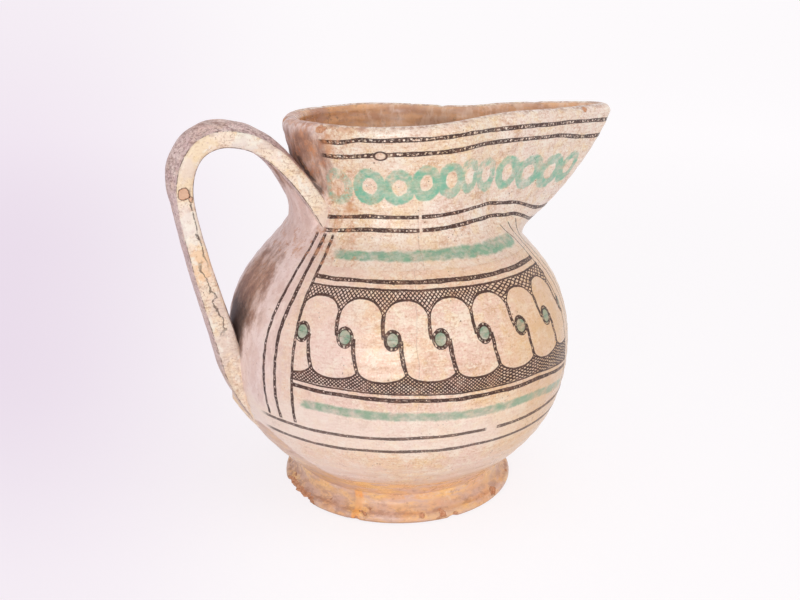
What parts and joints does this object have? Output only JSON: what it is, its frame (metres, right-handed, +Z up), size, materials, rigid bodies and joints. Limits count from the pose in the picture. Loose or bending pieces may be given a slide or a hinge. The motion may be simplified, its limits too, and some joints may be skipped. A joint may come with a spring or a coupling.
{
  "type": "maiolica jug",
  "caption": "Round-bellied tin-glazed earthenware jug with a splayed foot, wide collar, open pinched beak spout and a high looped strap handle.",
  "frame": {"origin": "centre of the foot's flat underside, on the axis of the turned body", "axes": "+Z up along the axis of the body, +X towards the tip of the spout, handle on -X"},
  "size_m": [0.2922, 0.22, 0.2433],
  "materials": {
    "painted_glaze": "worn tin glaze, semi-gloss, painted in dark brown and green",
    "strap_glaze": "worn tin glaze, semi-gloss, unpainted",
    "foot_glaze": "thin amber glaze over bare terracotta"
  },
  "bodies": {
    "root": {"foot": "foot_glaze", "belly": "painted_glaze", "neck": "painted_glaze", "spout": "painted_glaze", "handle": "strap_glaze", "handle_top_luting": "strap_glaze", "handle_foot_luting": "strap_glaze"}
  },
  "joints": []
}
